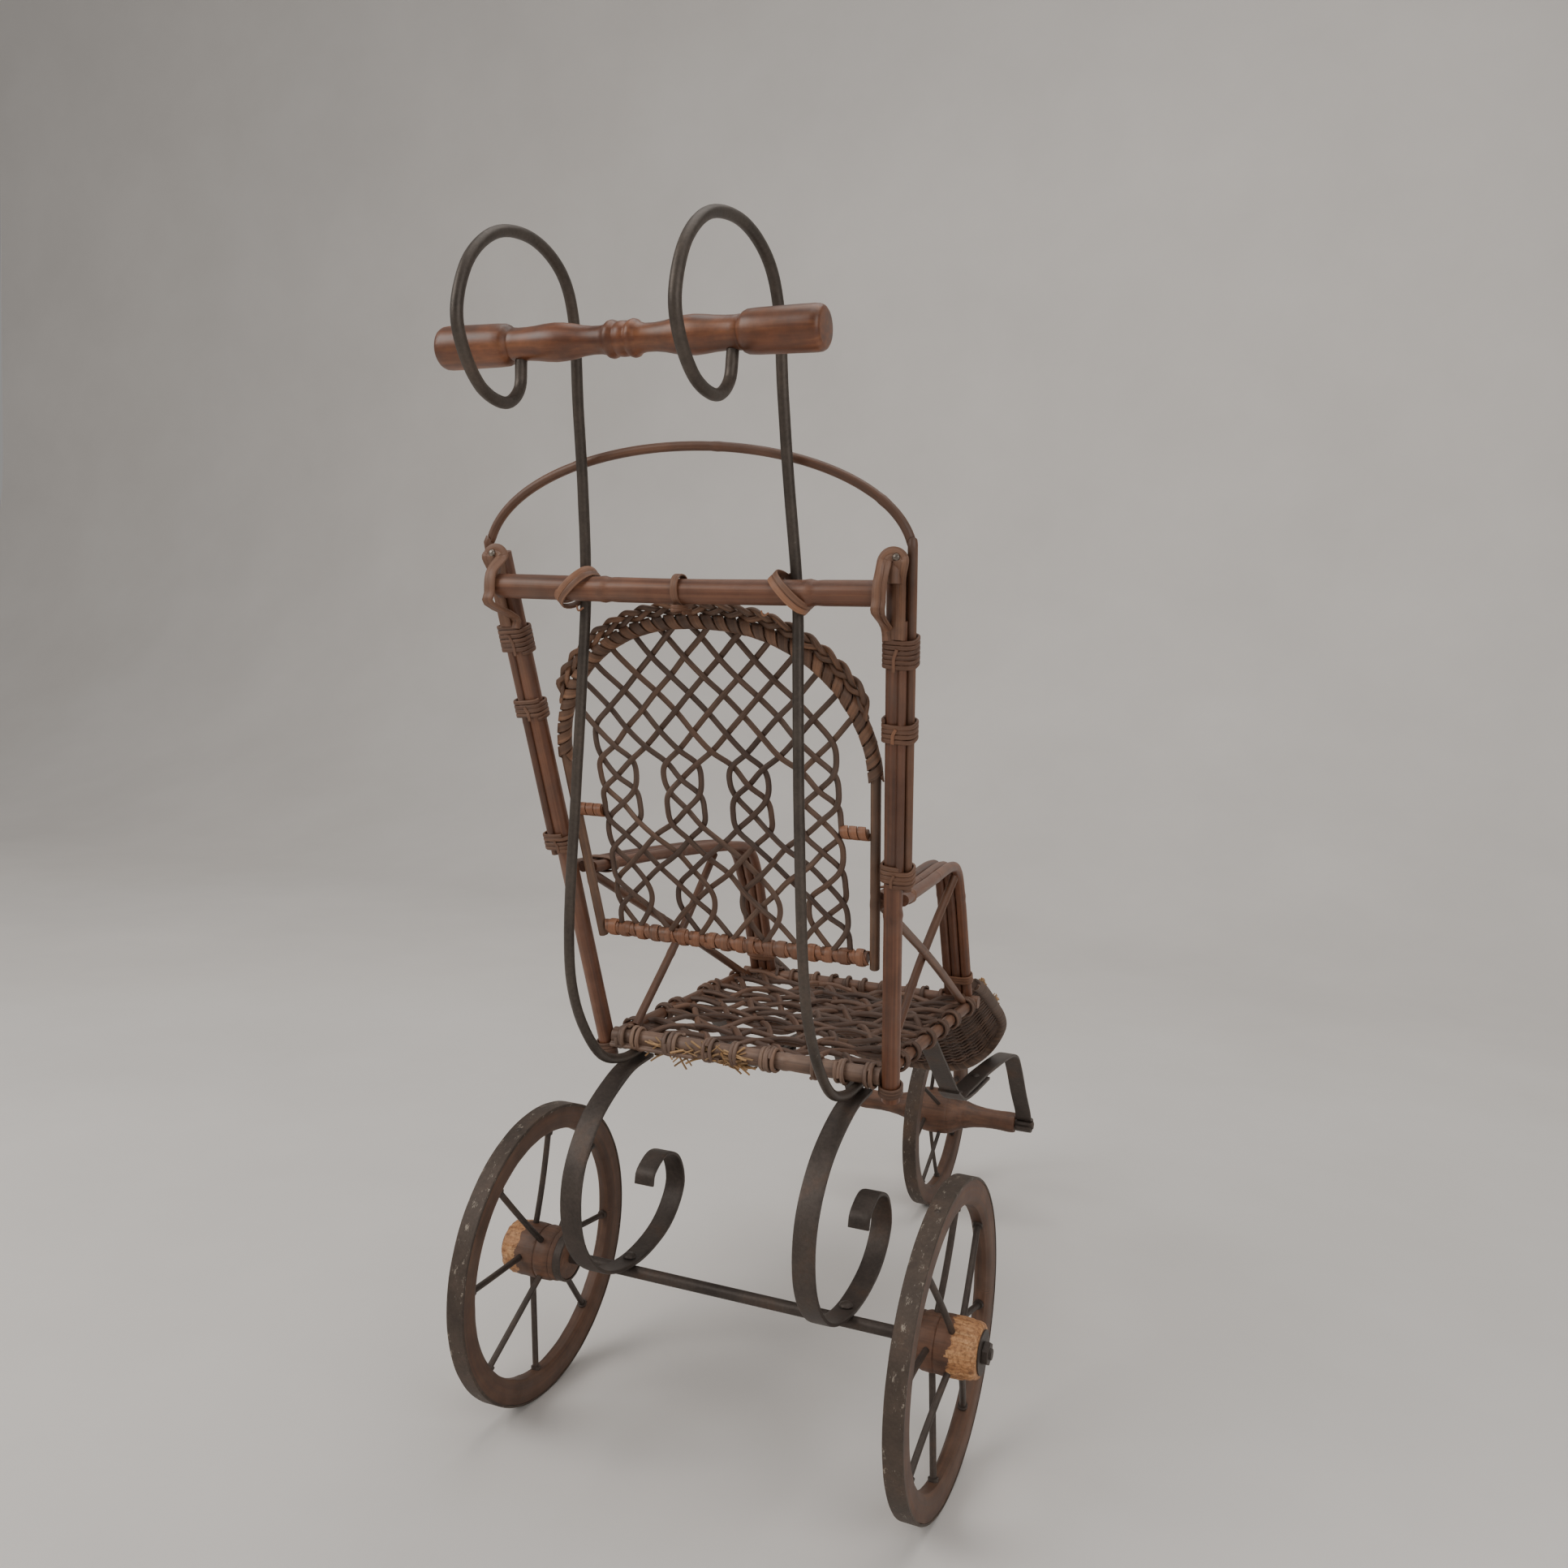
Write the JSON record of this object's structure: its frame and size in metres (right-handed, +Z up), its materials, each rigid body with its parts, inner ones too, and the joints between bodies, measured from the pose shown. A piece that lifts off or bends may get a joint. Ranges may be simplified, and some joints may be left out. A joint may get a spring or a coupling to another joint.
{
  "type": "doll stroller",
  "caption": "Old three-wheeled doll stroller: woven cane chair on iron springs, with spoked wooden wheels and a turned wooden grip between looped iron rods.",
  "frame": {"origin": "on the ground, under the middle of the object's box", "axes": "+Y towards the front wheel, +X towards the right-hand rear wheel, +Z up"},
  "size_m": [0.3868, 0.8834, 0.8106],
  "materials": {
    "iron": "old blackened wrought iron with worn edges",
    "tyre_iron": "scratched iron tyre",
    "rim_wood": "dark stained bent wood",
    "hub_wood": "turned wood, stained, chipped at its outer end",
    "grip_wood": "polished turned wood",
    "bamboo": "varnished thick cane",
    "cane": "varnished thin cane",
    "binding": "split cane binding",
    "wicker": "dark woven wicker"
  },
  "bodies": {
    "root": {"arch_braid": "wicker", "arch_tie": "binding", "armrest_left": "bamboo", "armrest_right": "bamboo", "back_arch": "cane", "back_lattice": "wicker", "back_lower_rail": "cane", "back_strut_left": "binding", "back_strut_right": "binding", "footrest": "wicker", "footrest_border": "wicker", "front_axle": "iron", "front_left_strap": "iron", "front_right_strap": "iron", "grip": "grip_wood", "handle_left_rod": "iron", "handle_right_rod": "iron", "hoop": "cane", "lashing_left": "binding", "lashing_right": "binding", "post_left": "bamboo", "post_left_arm_binding": "binding", "post_left_middle_binding": "binding", "post_left_top_binding": "binding", "post_right": "bamboo", "post_right_arm_binding": "binding", "post_right_middle_binding": "binding", "post_right_top_binding": "binding", "rear_axle": "iron", "rear_left_nut": "iron", "rear_left_spring": "iron", "rear_left_spring_rivet": "iron", "rear_right_nut": "iron", "rear_right_spring": "iron", "rear_right_spring_rivet": "iron", "saddle_left": "binding", "saddle_right": "binding", "seat_front_rail": "cane", "seat_left_rail": "cane", "seat_rear_rail": "bamboo", "seat_right_rail": "cane", "seat_weave": "wicker", "side_brace_left": "cane", "side_brace_right": "cane", "top_rail": "bamboo"},
    "rear_left_wheel": {"rear_left_hub": "hub_wood", "rear_left_hub_band": "iron", "rear_left_rim": "rim_wood", "rear_left_spokes": "iron", "rear_left_tyre": "tyre_iron"},
    "rear_right_wheel": {"rear_right_hub": "hub_wood", "rear_right_hub_band": "iron", "rear_right_rim": "rim_wood", "rear_right_spokes": "iron", "rear_right_tyre": "tyre_iron"},
    "front_wheel": {"front_hub": "hub_wood", "front_rim": "rim_wood", "front_spokes": "iron", "front_tyre": "tyre_iron"}
  },
  "joints": [
    {"name": "rear_left_spin", "type": "hinge", "parent": "root", "child": "rear_left_wheel", "pos_m": [-0.1604, -0.17805, 0.1125], "axis": [1, 0, 0], "continuous": true},
    {"name": "rear_right_spin", "type": "hinge", "parent": "root", "child": "rear_right_wheel", "pos_m": [0.1604, -0.17805, 0.1125], "axis": [1, 0, 0], "continuous": true},
    {"name": "front_spin", "type": "hinge", "parent": "root", "child": "front_wheel", "pos_m": [0, 0.34395, 0.098], "axis": [1, 0, 0], "continuous": true}
  ]
}
